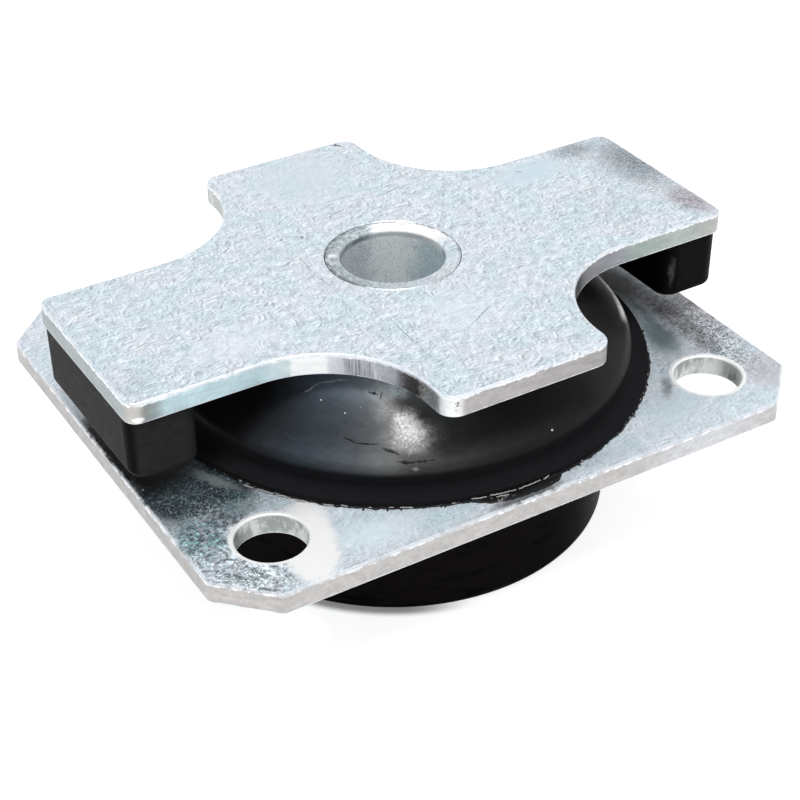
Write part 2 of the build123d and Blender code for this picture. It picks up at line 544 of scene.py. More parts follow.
class Plating(Finish):
    """Zinc plate: creased and mottled faces, rolled rims and duller sheared walls."""

    def __init__(self, name, top):
        super().__init__(name)
        self.top = top
        self.sizes = bpy.context.scene.mount_plating
        self.up = abs(self.facing.part(2))
        self.flat = self.up.rise(0.2, 0.5)
        self.fine = self.noise(self.place, self.sizes.grain * 0.27, 3, 0.7)
        self.flake = self.cells(self.place, self.sizes.grain * 0.3)
        self.ragged = self.noise(self.place, 1.2, 4, 0.65) - 0.5

    def face_patch(self, centre, reach, soft):
        """1 inside a blot on the upper face, given in plan."""
        return self.patch((*centre, self.top), (*reach, BLOT_DEPTH), 0, soft)

    def paint_face(self, colour, blots, texture=1, depth=BLOT_DEPTH):
        """Lays blots that are given in plan over the upper face."""
        solid = [((*centre, self.top), (*reach, depth), *rest) for centre, reach, *rest in blots]
        return self.paint(colour, solid, texture)

    def creases(self, place):
        """Height of the folds in the plating, at two sizes."""
        size = self.sizes.grain
        wide = abs(self.noise(place, size * 1.7, 2, 0.6, 1.2) - 0.5)
        narrow = abs(self.noise(place, size * 0.8, 2, 0.55, 0.8) - 0.5)
        return wide + narrow * 0.3

    def face(self, calm):
        """Plain face: clouds of two tints, with creases painted on as shade and highlight lit from one
        side, and painted glints, that fade out where it is calm.
        """
        sizes = self.sizes
        # Painted shade and highlight of the creases, as if lit from one side, and painted glints along
        # winding lines
        lit = self.creases(self.place + (0.3, -0.42, 0)) - self.creases(self.place)
        mottle = self.noise(self.place, sizes.grain * 1.5, 3, 0.6) - 0.5
        curls = self.veins(self.place, sizes.grain * 1.7, 0.03, 2.2)
        glint = self.veins(self.place + (0.3, -0.36, 0), sizes.grain * 1.7, 0.03, 2.2)
        rough = lit * sizes.emboss + (self.fine - 0.5) * 0.2 + mottle * 0.85 + glint * 0.1 - curls * 0.19
        tone = 1 + rough * (1 - calm)
        cloud = self.noise(self.place, 9, 2).rise(0.38, 0.62)
        return self.blend(cloud, sizes.cool_tint, sizes.warm_tint) * tone

    def wall_tone(self):
        """Brightness of a side wall: blotches, grit and streaks along the edge."""
        streak = self.noise(self.place * (0.15, 0.15, 1), 0.9, 4, 0.65, 0.3)
        patch = self.noise(self.place * (0.5, 0.5, 1), 1.8, 4, 0.65)
        return 1 + (streak - 0.5) * 0.35 + (patch - 0.5) * 0.7 + (self.fine - 0.5) * 0.45

    def rims(self, colour, low, high, margin, gaps):
        """Painted highlight on the rolled upper edge with a ragged border, painted darker on the far edges;
        thin painted highlights on the lower edge and on the face along the edge; a thin painted shadow line
        inside that.
        """
        sizes = self.sizes
        side = 1 - self.flat
        edge = margin + self.ragged * 1.3
        dash = self.noise(self.place, 2.6, 3, 0.6)
        far = self.facing.part(1).rise(0.15, 0.45)
        # Rolled edges painted bright as a highlight, and grey as painted shade on edges that face away
        rim = self.blend(far, sizes.rim_highlight_tint, (0.42, 0.41, 0.4)) * (1 + self.ragged * 1.2)
        roll = (self.z + self.ragged * 1.6).rise(high - 0.95, high - 0.6) * side
        roll = roll * (1 - dash.rise(0.62, 0.42) * gaps)
        colour = self.blend(roll * (0.55 + dash * 0.8), colour, rim)
        # Painted highlight along the lower edge
        foot = (self.z + self.ragged * 0.5).rise(low + 0.45, low + 0.25) * dash.rise(0.35, 0.5) * side
        colour = self.blend(foot * 0.8, colour, sizes.rim_highlight_tint)
        # Thin painted highlight on the face along the edge, and a painted shadow line further in
        line = edge.rise(0.75, 0.35) * self.flat * dash.rise(0.38, 0.56)
        colour = self.blend(line * 0.75, colour, sizes.rim_highlight_tint)
        shadow = edge.band(0.6, 0.8, 0.8, 1.1) * self.flat * dash.rise(0.5, 0.62)
        return self.blend(shadow * 0.3, colour, sizes.stain_and_shadow_tint)


def top_plating():
    """The cross plate's finish."""
    f = Plating("zinc_top", TOP_HIGH.z)
    place, sizes = f.place, f.sizes
    calm = f.face_patch((0, 44), (24, 22), 0.9) * 0.55
    calm = calm.most(f.face_patch((46, 16), (17, 8), 0.9) * 0.6)
    streaks = f.noise(place * (1, 0.7, 1), 0.6, 4, 0.8, 1.6).rise(0.46, 0.56)
    face = f.paint_face(f.face(calm), TOP_CLOUDS)
    face = f.paint_face(face, TOP_STREAKED, streaks)
    face = f.paint_face(face, TOP_SPOTS, depth=SPOT_DEPTH)
    gritty = f.face_patch((71, 2), (12, 28), 0.7)
    face = face * (1 + (f.noise(place, 0.5, 3, 0.8) - 0.5) * gritty * 2.2)
    for start, end, width in TOP_SCRATCHES:
        scratch = f.stroke(f.nearly, (*start, f.top), (*end, f.top), width)
        face = f.blend(scratch * 0.55, face, sizes.stain_and_shadow_tint)
    brushed = f.noise(place * (1, 1, 0.06), 0.5, 3, 0.7)
    grit = f.noise(place, 0.55, 3, 0.75)
    # Near walls take their painted reflections from the table, other walls a plain grey
    near = f.ramp(f.x + (grit - 0.5) * 0.6, NEAR_WALL_REFLECTIONS)
    striped = f.x.band(-29.6, -28.8, -25, -23)
    dark_end = f.x.band(-22.2, -21.8, -20.3, -20.1)
    near_side = f.facing.part(1).rise(0.1, -0.1)
    tint = f.blend(near_side, (0.4, 0.43, 0.42), near)
    tint = f.paint(tint, [LEFT_END_WALL, LEFT_CORNER_GLINT], steady=True)
    marks = (brushed - 0.5) * (striped * 3.2) + (grit - 0.5) * (dark_end * 4)
    tone = f.wall_tone() + marks * near_side
    specks = f.patch((-17.6, -54, 58.6), (0.9, 1.5, 1.4), 0, 0.7) * grit.rise(0.5, 0.6)
    wall = f.blend(specks, tint * tone, SOOT)
    colour = f.blend(f.flat, wall, face)
    colour = f.rims(colour, TOP_LOW.z, TOP_HIGH.z, top_margin(place), 0)
    rough = 0.32 + f.fine * 0.12
    height = f.fine * 0.6 + f.flake * 0.3
    return f.surface({"Base Color": colour, "Metallic": 0.8, "Roughness": rough}, height, sizes.relief)


def base_plating():
    """The base plate's finish."""
    f = Plating("zinc_base", BASE_HIGH.z)
    place, sizes = f.place, f.sizes
    fleck = f.noise(place, 0.55, 3, 0.75, 0.8)
    dark_fleck = f.noise(place + (7, 0, 0), 0.7, 4, 0.75, 1.2).rise(0.48, 0.57)
    face = f.paint_face(f.face(0.25), BASE_CLOUDS_AND_SHADE)
    # Painted shade and reflection by the bumpers, with stains
    face = f.paint_face(face, BASE_SHADE_AND_STAINS, 0.8 + fleck * 0.4)
    face = f.paint_face(face, BASE_DARK_FLECKS, dark_fleck)
    face = f.paint_face(face, BASE_PALE_FLECKS, fleck.rise(0.5, 0.6))
    face = f.paint_face(face, BASE_MIRRORED, 0.7 + fleck * 0.6)
    # Painted sparkle glints on the plating by the left bumper
    spark = f.veins(place * (1, 0.7, 1), 1.4, 0.022, 1.5) * fleck.rise(0.46, 0.54)
    glitter = f.face_patch((-63, -33), (14, 16), 0.5)
    face = f.blend(spark * glitter * 0.55, face, (0.6, 0.75, 0.78))
    gritty = f.face_patch((-64, -46), (14, 22), 0.5)
    gritty = gritty.most(f.face_patch((66, -24), (9, 34), 0.6))
    salt = f.noise(place, 0.5, 3, 0.8) - 0.5
    lumps = f.noise(place, 1.6, 3, 0.7, 0.8) - 0.5
    left = gritty * f.x.rise(-30, -45)
    grain = salt * (0.4 + gritty * 3) + lumps * (0.3 + gritty * 2.4 + left * 3)
    face = face * (1 + grain).most(0.3)
    face = f.blend(left * f.cells(place, 0.9).rise(0.8, 0.84) * 0.5, face, (0.62, 0.6, 0.68))
    # Painted pool of light by the front left hole
    face = f.paint_face(face, BASE_LIT_PATCH, 0.7 + fleck * 0.55)
    tint = f.paint(sizes.wall_tint, [BASE_LEFT_WALL, BASE_FRONT_WALL], steady=True)
    grit = f.noise(place * (1, 1, 0.5), 0.7, 3, 0.7)
    blush = f.noise(place, 2.4, 3, 0.6).rise(0.45, 0.65)
    wall = f.blend(blush * 0.3, tint, (0.55, 0.5, 0.51)) * (f.wall_tone() + (grit - 0.5) * 0.3)
    hole = from_bolt_hole(place)
    colour = f.blend(f.flat, wall, face)
    colour = f.rims(colour, BASE_LOW.z, BASE_HIGH.z, base_margin(place), 0.75)
    worn = f.noise(place * (1, 1, 0.5), 3, 4, 0.65)
    hole_wall = f.blend(worn.rise(0.42, 0.6), (0.72, 0.76, 0.75), (0.36, 0.39, 0.38)) * (0.8 + fleck * 0.4)
    colour = f.blend((1 - f.flat) * hole.rise(0.7, 0.5), colour, hole_wall)
    # Painted highlight on the rim round each bolt hole
    ring = (hole + f.ragged * 1.1).rise(1.35, 0.85)
    colour = f.blend(ring * f.up.rise(0.15, 0.3) * 0.9, colour, WHITE)
    lit = (f.y + f.x * 0.12).rise(-40, -50) * f.x.rise(60, 45)
    metal = 0.4 - f.flat * lit * 0.34 + (1 - f.flat) * hole.rise(0.5, 0.7) * 0.5
    rough = 0.34 + f.fine * 0.14
    height = f.fine * 0.6 + f.flake * 0.5
    sockets = {"Base Color": colour, "Metallic": metal, "Roughness": rough}
    return f.surface(sockets, height, sizes.relief * 1.6)


class MOUNT_OT_plates(bpy.types.Operator):
    """Give the two plates their zinc plating"""

    bl_idname = "mount.plates"
    bl_label = "Plates"

    def execute(self, context):
        put_on("top_plate", top_plating())
        put_on("base_plate", base_plating())
        return {"FINISHED"}


# Sleeve

# Depth and radius of the turned mouth, and how far the end rises for each millimetre out from it
MOUTH_DEPTH = 1.9
MOUTH_RADIUS = 12.4
END_DISH = 0.27


def sleeve_plating():
    """The centre sleeve's finish, from its joint line in to its bore."""
    f = Plating("zinc_sleeve", TOP_HIGH.z)
    place, sizes = f.place, f.sizes
    radius = (place * (1, 1, 0)).length()
    depth = f.top - f.z
    on_end = f.facing.part(2).rise(0.1, 0.4)
    bearing = place.bearing() + f.ragged * 14

    left = bearing.rise(72, 92) + bearing.rise(-120, -165)
    pitted = f.noise(place, 1.1, 4, 0.75).rise(0.4, 0.62)
    end = f.blend(left * (0.25 + pitted * 0.6), f.face(0), (0.25, 0.31, 0.32))
    # Painted highlight: a white crescent at the back of the dished end and a white glint near the mouth
    end = f.blend(bearing.band(-14, 14, 74, 88), end, WHITE)
    end = f.blend(f.patch((-11.6, 6.4, 60.6), (1.2, 1.4, 2), 0, 0.8), end, WHITE)

    side = place.dot((0.86, -0.51, 0)) + (f.noise(place, 2.5, 3) - 0.5) * 7
    grain = f.noise(place, 0.45, 3, 0.8)
    cloud = f.noise(place * (1, 1, 0.7), 2, 3, 0.6)
    # Painted light in the bore: brightest in the middle, greyer to the left and bluer to the right
    dull = f.blend(side.rise(-8, -2), (0.68, 0.7, 0.74), (0.97, 1, 1))
    dull = f.blend(side.rise(2, 8), dull, (0.62, 0.75, 0.79))
    dull = dull * (1 + (grain - 0.5) * 1.9 + (cloud - 0.5) * 0.2)
    turned = f.blend(cloud.rise(0.42, 0.6) * 0.7, (0.5, 0.56, 0.57), (0.26, 0.3, 0.3))
    # Painted highlight: a white band at the back of the turned mouth
    turned = f.blend(bearing.band(-22, -8, 80, 92), turned, WHITE)
    mouth = (depth + f.ragged * 0.9).rise(MOUTH_DEPTH + 0.2, MOUTH_DEPTH - 0.2)
    bore = f.blend(mouth, dull, turned)
    colour = f.blend(on_end, bore, end)
    broken = f.noise(place, 2.4, 3, 0.6).rise(0.36, 0.52)
    line = (radius + f.ragged * 1.3).rise(14.2, 14.7) * broken
    torn = radius + f.ragged * 1.1
    inner = torn.band(13.3, 13.6, 13.7, 14) * (1 - broken)
    shown = 0.2 + bearing.rise(-35, 10) * 0.8 + bearing.rise(-120, -160)
    seam = (line + inner * 0.7) * shown.least(1)
    colour = f.blend(seam * on_end * 0.8, colour, sizes.stain_and_shadow_tint)

    relief = (radius - MOUTH_RADIUS).most(0) * END_DISH + f.fine * 0.03 + grain * 0.05
    metal = 0.15 + (on_end + mouth).least(1) * 0.65
    sockets = {"Base Color": colour, "Metallic": metal, "Roughness": 0.33 + (grain - 0.5) * 0.1}
    return f.surface(sockets, relief, 1)


class MOUNT_OT_sleeve(bpy.types.Operator):
    """Give the centre sleeve its dished end with a painted highlight crescent, its turned mouth with a
    painted highlight band, and its rough bore with painted light across it
    """

    bl_idname = "mount.sleeve"
    bl_label = "Sleeve"

    def execute(self, context):
        put_on("centre_sleeve", sleeve_plating())
        return {"FINISHED"}


# Rubber


class RubberSizes(bpy.types.PropertyGroup):
    """Colours and surface of the moulded rubber."""

    tint: bpy.props.FloatVectorProperty(
        name="Tint",
        description="Clean moulded rubber",
        default=(0.006, 0.006, 0.0062),
        size=3,
        subtype="COLOR",
    )
    # Painted highlight: the glare of the lamp on the dome, and pale lines on it
    highlight_tint: bpy.props.FloatVectorProperty(
        name="Bloom tint",
        description="Pale bloom where the skin is scuffed",
        default=(0.78, 0.76, 0.75),
        size=3,
        subtype="COLOR",
    )
    gloss: bpy.props.FloatProperty(
        name="Gloss",
        description="Reflection of the plain skin",
        default=0.09,
        min=0,
        max=1,
    )


# Sheen of the dome by its bearing in degrees, and how it fades with the distance from the centre line
DOME_SHEEN = (
    (-180, 0.004),
    (-158, (0.004, 0.004, 0.005)),
    (-151, (0.02, 0.023, 0.028)),
    (-144, (0.032, 0.043, 0.056)),
    (-136, (0.052, 0.065, 0.08)),
    (-129, (0.088, 0.1, 0.112)),
    (-124.5, (0.145, 0.155, 0.162)),
    (-120.5, (0.15, 0.152, 0.152)),
    (-117.5, 0.08),
    (-113, 0.065),
    (-109, 0.056),
    (-103, 0.036),
    (-98, 0.02),
    (-90, 0.0115),
    (0, 0.006),
    (180, 0.004),
)
SHEEN_GAIN = 2.4
SHEEN_FADE = (
    (34, 1),
    (40, 1),
    (42, 0.6),
    (43.5, 0.43),
    (46, 0.33),
    (49, 0.3),
    (51.5, 0.42),
    (52.6, 0.46),
    (53.5, 0.22),
)

# A lobe of the painted glare, the lamp's highlight on the dome, which is also glossier there: its centre,
# its half sizes, its turn about Z, the soft share of its size and its strength
DOME_GLARE = (
    ((-20.6, -40.1, 48), (3.9, 4.5, 3), -31, 1, 0.95),
    ((-19.3, -42.6, 46.8), (2.8, 3.8, 2.4), -31, 1, 0.4),
    ((-21.8, -41.6, 46.9), (4.4, 4.5, 2.8), -31, 1, 0.38),
    ((-22.4, -44, 45.2), (5, 4.5, 2.6), -31, 0.9, 0.3),
    ((-23.6, -37, 49.4), (4.2, 4.5, 2.6), -31, 1, 0.22),
    ((-21.9, -34.4, 51.2), (3.6, 3.6, 2), -31, 1, 0.3),
    ((-21.6, -43.2, 46.4), (8.8, 7.4, 3.6), -31, 1, 0.32),
    ((-19, -43.6, 46.2), (3.4, 4.4, 2.6), -31, 1, 0.2),
)
# Pale bluish top of the painted glare, with its tints
DOME_GLARE_TOP = (
    ((-20.4, -34, 51.7), (4.2, 3.4, 2.2), -31, 0.8, (0.85, 0.95, 0.97), 0.9),
    ((-23.4, -32.6, 51.7), (3.6, 3, 2), -31, 0.9, (0.55, 0.62, 0.64), 0.7),
)
DOME_CUTS = (
    ((-33.4, -35, 45.8), (-31.6, -37.9, 45.1), 0.25),
    ((-31.6, -37.9, 45.1), (-28, -40.7, 45), 0.3),
    ((-27.8, -41.2, 44.7), (-25.1, -44.5, 43.7), 0.4),
    ((-26.3, -45.2, 42.8), (-23.1, -47, 42.7), 0.55),
    ((-23.3, -46.9, 42.7), (-19.5, -48.5, 42.7), 0.4),
    ((-24.9, -31.5, 51.6), (-23, -33.4, 51.2), 0.3),
    ((-25.2, -33, 51), (-22.6, -31.8, 52.4), 0.25),
    ((-23.9, -34.6, 50.4), (-22.4, -33.2, 51.6), 0.25),
    ((-18.6, -42.4, 46.9), (-17.2, -44.6, 45.8), 0.3),
)
# Pale painted highlight lines: the first two are the reflection of the notch wall just under the plate's
# edge, the last two streaks at the lower end of the glare
PALE_LINES = (
    ((-36.1, -22.8, 49.8), (-31.8, -23.8, 51.8), 0.3),
    ((-31.8, -23.8, 51.8), (-26.2, -27.6, 52.9), 0.35),
    ((-24.6, -47.4, 41.7), (-22.7, -48.4, 41.5), 0.6),
    ((-22, -47.3, 42.8), (-21.4, -47.7, 42.4), 0.5),
)


def total(f, blots):
    """Sum of a list of blots without tints."""
    amount = 0
    for centre, reach, turn, soft, share in blots:
        amount = f.patch(centre, reach, turn, soft) * share + amount
    return amount


def dome_rubber():
    """The moulded body: painted sheen and glare highlights and cuts on the dome, streaks on the drum."""
    sizes = bpy.context.scene.mount_rubber
    f = Finish("rubber_dome")
    place = f.place
    radius = (place * (1, 1, 0)).length()
    cloud = f.noise(place, 8, 3)
    smear = f.noise(place * (1, 1, 2.5), 3, 3, 0.6, 0.8)
    grit = f.noise(place, 0.55, 4, 0.8)
    colour = f.blend(cloud.rise(0.4, 0.7) * 0.6, sizes.tint, (0.009, 0.0095, 0.01))

    on_dome = f.z.rise(39.4, 41)
    sheen = f.ramp((f.loose * 0.5 + place * 0.5).bearing(), DOME_SHEEN) * f.ramp(radius, SHEEN_FADE)
    sheen = sheen * SHEEN_GAIN * (0.6 + smear * 0.8) * (0.92 + grit * 0.16)
    colour = f.blend(on_dome, colour, sheen, "ADD")

    # Painted glare, the lamp's highlight on the dome, grainy, with its pale bluish top
    glare = total(f, DOME_GLARE).least(1)
    colour = f.paint(colour, DOME_GLARE_TOP, 0.3 + grit.rise(0.35, 0.6) * 0.7)
    painted_glare = (glare * (0.4 + grit.rise(0.38, 0.6))).least(1)
    colour = f.blend(painted_glare, colour, sizes.highlight_tint)
    for start, end, width in PALE_LINES:
        line = f.stroke(f.nearly, start, end, width) * grit.rise(0.3, 0.55)
        colour = f.blend(line * 0.3, colour, sizes.highlight_tint)
    # Painted highlight along the dome's right shoulder, which also gets a glossier coat
    streak = radius.band(50.8, 51.9, 52.3, 53.2) * f.z.rise(41.8, 42.6)
    streak = streak * place.bearing().band(-33, -26, -14, -4) * smear.rise(0.25, 0.5)
    colour = f.blend(streak, colour, (0.66, 0.65, 0.64))

    height = f.noise(place, 0.35, 2, 0.6) * 0.12 + smear * 0.2 + grit * glare * 0.6
    for start, end, width in DOME_CUTS:
        cut = f.stroke(f.nearly, start, end, width)
        colour = f.blend(cut * grit.rise(0.25, 0.5) * 0.9, colour, 0.002)
        height = height - cut * 1.5

    skirt = (1 - on_dome) * f.z.rise(BASE_HIGH.z - 0.1, BASE_HIGH.z)
    colour = f.blend(skirt * 0.8, colour, (0.011, 0.011, 0.013))
    flange = skirt * radius.rise(54.2, 55) * f.facing.part(2).rise(0.3, 0.8)
    colour = f.blend(flange * smear.rise(0.2, 0.6), colour, (0.013, 0.013, 0.015))
    drum = f.z.rise(BASE_LOW.z + 0.5, BASE_LOW.z - 0.5)
    lines = f.noise(place * (0.2, 0.2, 1), 2.2, 3, 0.65)
    colour = f.blend(drum, colour, (0.0045, 0.0036, 0.0036))
    colour = f.blend(drum * lines.rise(0.5, 0.7), colour, 0.001)
    rough = 0.4 + (smear - 0.5) * 0.2 + skirt * 0.45
    sockets = {
        "Base Color": colour,
        "Metallic": drum * 0.9,
        "Roughness": rough,
        "Specular IOR Level": sizes.gloss,
        "Specular Tint": (0.5, 0.5, 0.5, 1),
        "Coat Weight": (glare * 0.5 + streak * 0.5).least(1),
        "Coat Roughness": 0.3,
    }
    return f.surface(sockets, height, 0.05)


def bumper_rubber():
    """Both bumpers: plain satin rubber with painted light: the left bumper's near face lighter, faces
    toward the left darker, a highlight on the right bumper's near corner and one along the lower edge.
    """
    sizes = bpy.context.scene.mount_rubber
    f = Finish("rubber_bumper")
    cloud = f.noise(f.place, 6, 3)
    smear = f.noise(f.place * (1, 1, 2), 2.5, 3, 0.6, 0.6)
    # Painted light and shade: the left bumper's near face lighter, faces toward the left darker
    near = f.facing.part(1).rise(-0.4, -0.9) * f.x.rise(0, -5)
    end = f.facing.part(0).rise(-0.5, -0.95)
    colour = f.blend(cloud.rise(0.4, 0.7) * 0.5, sizes.tint, 0.009)
    colour = f.blend(near * (0.7 + smear * 0.5), colour, (0.032, 0.032, 0.033))
    colour = f.blend(end, colour, (0.003, 0.0034, 0.0028)) * (0.8 + smear * 0.4)
    # Painted highlight on the right bumper's near corner
    corner = f.patch((60.8, -22.8, 48.5), (1, 2, 5.5), 0, 0.9) * f.z.rise(42, 47)
    colour = f.blend(corner, colour, 0.075)
    # Painted highlight along the lower edge
    foot = f.z.rise(43, 42.3) * smear.rise(0.4, 0.6)
    colour = f.blend(foot * 0.3, colour, 0.12)
    rough = 0.4 + (smear - 0.5) * 0.2
    sockets = {"Base Color": colour, "Roughness": rough, "Specular IOR Level": sizes.gloss * 0.22}
    return f.surface(sockets, f.noise(f.place, 0.35, 2, 0.6) * 0.3 + smear * 0.3, 0.05)


class MOUNT_OT_rubber(bpy.types.Operator):
    """Give the rubber body and both bumpers their moulded skin"""

    bl_idname = "mount.rubber"
    bl_label = "Rubber"

    def execute(self, context):
        put_on("rubber_body", dome_rubber())
        plain = bumper_rubber()
        put_on("left_bumper", plain)
        put_on("right_bumper", plain)
        return {"FINISHED"}


# Small pieces that follow a path or sit at points


class Growth(Tree):
    """A geometry node tree under construction, with named inputs."""

    def __init__(self, name, numbers):
        group = bpy.data.node_groups.new(name, "GeometryNodeTree")
        super().__init__(group)
        kinds = {"Geometry": "Geometry"}
        kinds |= dict.fromkeys(numbers, "Float")
        kinds |= {"Seed": "Int", "Material": "Material"}
        for label, kind in kinds.items():
            group.interface.new_socket(label, in_out="INPUT", socket_type="NodeSocket" + kind)
        group.interface.new_socket("Geometry", in_out="OUTPUT", socket_type="NodeSocketGeometry")
        self.given = group.nodes.new("NodeGroupInput")

    def input(self, label):
        return Field(self, self.given.outputs[label])

    def lumps(self):
        """Places counted in lumps, for noise that has a lump of the given size."""
        lump = self.input("Lump")
        size = self.node("ShaderNodeCombineXYZ", {}, {axis: lump for axis in range(3)})
        return self.node("GeometryNodeInputPosition", {}, {}) / size

    def finish(self, geometry):
        whole = self.node("GeometryNodeRealizeInstances", {}, {0: geometry})
        painted = self.node("GeometryNodeSetMaterial", {}, {0: whole, 2: self.input("Material")})
        self.node("NodeGroupOutput", {}, {0: painted})
        return self.tree


LIP_SIDES = 10


def bead_tree():
    """A lip that follows a path, wandering sideways and swelling at random."""
    g = Growth("wandering_lip", ("Spacing", "Wander", "Lump", "Width", "Height", "Swell"))
    curve = g.node("GeometryNodeMeshToCurve", {}, {0: g.input("Geometry")})
    curve = g.node("GeometryNodeResampleCurve", {"mode": "LENGTH"}, {0: curve, 3: g.input("Spacing")})
    grid = g.lumps() + g.node("ShaderNodeCombineXYZ", {}, {2: g.input("Seed")})
    wander = g.noise(grid, 1, 3, out=1)
    offset = (wander - (0.5, 0.5, 0.5)) * (1, 1, 0.3) * (g.input("Wander") * 2)
    curve = g.node("GeometryNodeSetPosition", {}, {0: curve, 3: offset})
    curve = g.node("GeometryNodeSetCurveNormal", {"mode": "Z_UP"}, {0: curve})
    thick = g.noise(grid * 1.7, 1)
    swell = 1 + (thick - 0.5) * 2 * g.input("Swell")
    profile = g.node("GeometryNodeCurvePrimitiveCircle", {}, {0: LIP_SIDES, 4: 1})
    size = g.node("ShaderNodeCombineXYZ", {}, {0: g.input("Width"), 1: g.input("Height"), 2: 1})
    profile = g.node("GeometryNodeTransform", {}, {0: profile, 3: size})
    lip = g.node("GeometryNodeCurveToMesh", {}, {0: curve, 1: profile, 2: swell, 3: True})
    lip = g.node("GeometryNodeSetShadeSmooth", {}, {0: lip})
    return g.finish(lip)


def crumb_tree():
    """A crumb on every point, turned and dented at random, as large as the point's size says."""
    g = Growth("crumbs", ("Dent", "Lump"))
    size = g.node("GeometryNodeInputNamedAttribute", {"data_type": "FLOAT"}, {0: "size"})
    turns = {0: (0, 0, 0), 1: (math.tau, math.tau, math.tau), 8: g.input("Seed")}
    turn = g.node("FunctionNodeRandomValue", {"data_type": "FLOAT_VECTOR"}, turns)
    ball = g.node("GeometryNodeMeshIcoSphere", {}, {0: 1, 1: 2})
    points = g.node("GeometryNodeMeshToPoints", {}, {0: g.input("Geometry")})
    crumbs = g.node("GeometryNodeInstanceOnPoints", {}, {0: points, 2: ball, 5: turn, 6: size})
    whole = g.node("GeometryNodeRealizeInstances", {}, {0: crumbs})
    dent = (g.noise(g.lumps(), 1, 1, out=1) - (0.5, 0.5, 0.5)) * (g.input("Dent") * 2)
    return g.finish(g.node("GeometryNodeSetPosition", {}, {0: whole, 3: dent}))


def in_metres(lengths):
    """Values of a tree's lengths, from millimetres."""
    return {label: length * MM for label, length in lengths.items()}


def grow(name, tree, strands, closed, values, sizes=None):
    """Runs a tree over strands of points, joined unless they carry sizes, and gives the plain mesh."""
    mesh = bpy.data.meshes.new(name + "_path")
    points = [point for strand in strands for point in strand]
    edges = []
    first = 0
    for strand in strands:
        last = first + len(strand) - 1
        edges += [] if sizes else [(i, i + 1) for i in range(first, last)]
        edges += [(last, first)] if closed else []
        first = last + 1
    mesh.from_pydata([Vector(p) * MM for p in points], edges, [])
    if sizes:
        attribute = mesh.attributes.new("size", "FLOAT", "POINT")
        attribute.data.foreach_set("value", [s * MM for s in sizes])
    made = bpy.data.objects.new(name, mesh)
    bpy.context.scene.collection.objects.link(made)
    modifier = made.modifiers.new("growth", "NODES")
    modifier.node_group = tree
    sockets = {item.name: item.identifier for item in tree.interface.items_tree if item.in_out == "INPUT"}
    for label, value in values.items():
        modifier[sockets[label]] = value
    bpy.context.view_layer.update()
    whole = bpy.data.meshes.new_from_object(made.evaluated_get(bpy.context.evaluated_depsgraph_get()))
    made.modifiers.clear()
    made.data = whole
    whole.name = name
    if not whole.polygons:
        raise RuntimeError(f"{name} came out empty")
    return made


# Degrees between the points of a corner and of a wider arc
CORNER_STEP = 15
ARC_STEP = 3


def arc_points(centre, radius, first, last, height, step=ARC_STEP):
    """Points on an arc, angles in degrees."""
    count = max(2, int(abs(last - first) / step) + 1)
    angles = [math.radians(first + (last - first) * i / (count - 1)) for i in range(count)]
    return [(centre[0] + radius * math.cos(a), centre[1] + radius * math.sin(a), height) for a in angles]


def all_quarters(quarter):
    """One closed path from the outline between +X and +Y, mirrored to the other three quarters."""
    path = []
    for sx, sy in ((1, 1), (-1, 1), (-1, -1), (1, -1)):
        side = [(sx * x, sy * y, z) for x, y, z in quarter]
        path += side if sx * sy > 0 else side[::-1]
    return path


def cross_path(inset, height):
    """The top plate's outline, drawn in by an inset, as one closed path."""
    arm_x, arm_y = SHORT_ARM_WIDTH / 2, LONG_ARM_WIDTH / 2
    long_corner = (TOP_HIGH.x - LONG_ARM_CORNER, arm_y - LONG_ARM_CORNER)
    notch = (arm_x + NOTCH_RADIUS, arm_y + NOTCH_RADIUS)
    short_corner = (arm_x - SHORT_ARM_CORNER, TOP_HIGH.y - SHORT_ARM_CORNER)
    quarter = arc_points(long_corner, LONG_ARM_CORNER - inset, 0, 90, height, CORNER_STEP)
    quarter += arc_points(notch, NOTCH_RADIUS + inset, 270, 180, height)
    quarter += arc_points(short_corner, SHORT_ARM_CORNER - inset, 0, 90, height, CORNER_STEP)
    return all_quarters(quarter)


def base_path(inset, height):
    """The base plate's outline, drawn in by an inset, as one closed path."""
    x, y = BASE_HIGH.x - inset, BASE_HIGH.y - inset
    cut = BASE_CORNER_CUT - inset * (2 - math.sqrt(2))
    return all_quarters([(x, y - cut, height), (x - cut, y, height)])


class BurrSizes(bpy.types.PropertyGroup):
    """Sizes of the burrs and the flash."""

    burr_width: bpy.props.FloatProperty(
        name="Burr width",
        description="Half width of the zinc bead on a plate's edge, in millimetres",
        default=0.11,
        min=0.02,
        max=1,
    )
    burr_inset: bpy.props.FloatProperty(
        name="Burr inset",
        description="Distance of the bead from the outline, in millimetres",
        default=0.27,
        min=0.1,
        max=1,
    )
    flash_width: bpy.props.FloatProperty(
        name="Flash width",
        description="Half width of the torn rubber edge, in millimetres",
        default=0.55,
        min=0.1,
        max=3,
    )
    flash_height: bpy.props.FloatProperty(
        name="Flash height",
        description="Half height of the torn rubber edge, in millimetres",
        default=0.22,
        min=0.05,
        max=1,
    )
    seed: bpy.props.IntProperty(
        name="Seed",
        description="Seed of everything random on the mount",
        default=7,
    )


def bead_zinc():
    """Bright zinc of the beads, dull in places."""
    f = Finish("zinc_bead")
    tone = f.noise(f.place, 0.8)
    colour = f.blend(tone.rise(0.4, 0.6), (0.97, 0.99, 1), (0.6, 0.63, 0.65))
    return f.surface({"Base Color": colour, "Metallic": 0.8, "Roughness": 0.3}, tone, 0.02)


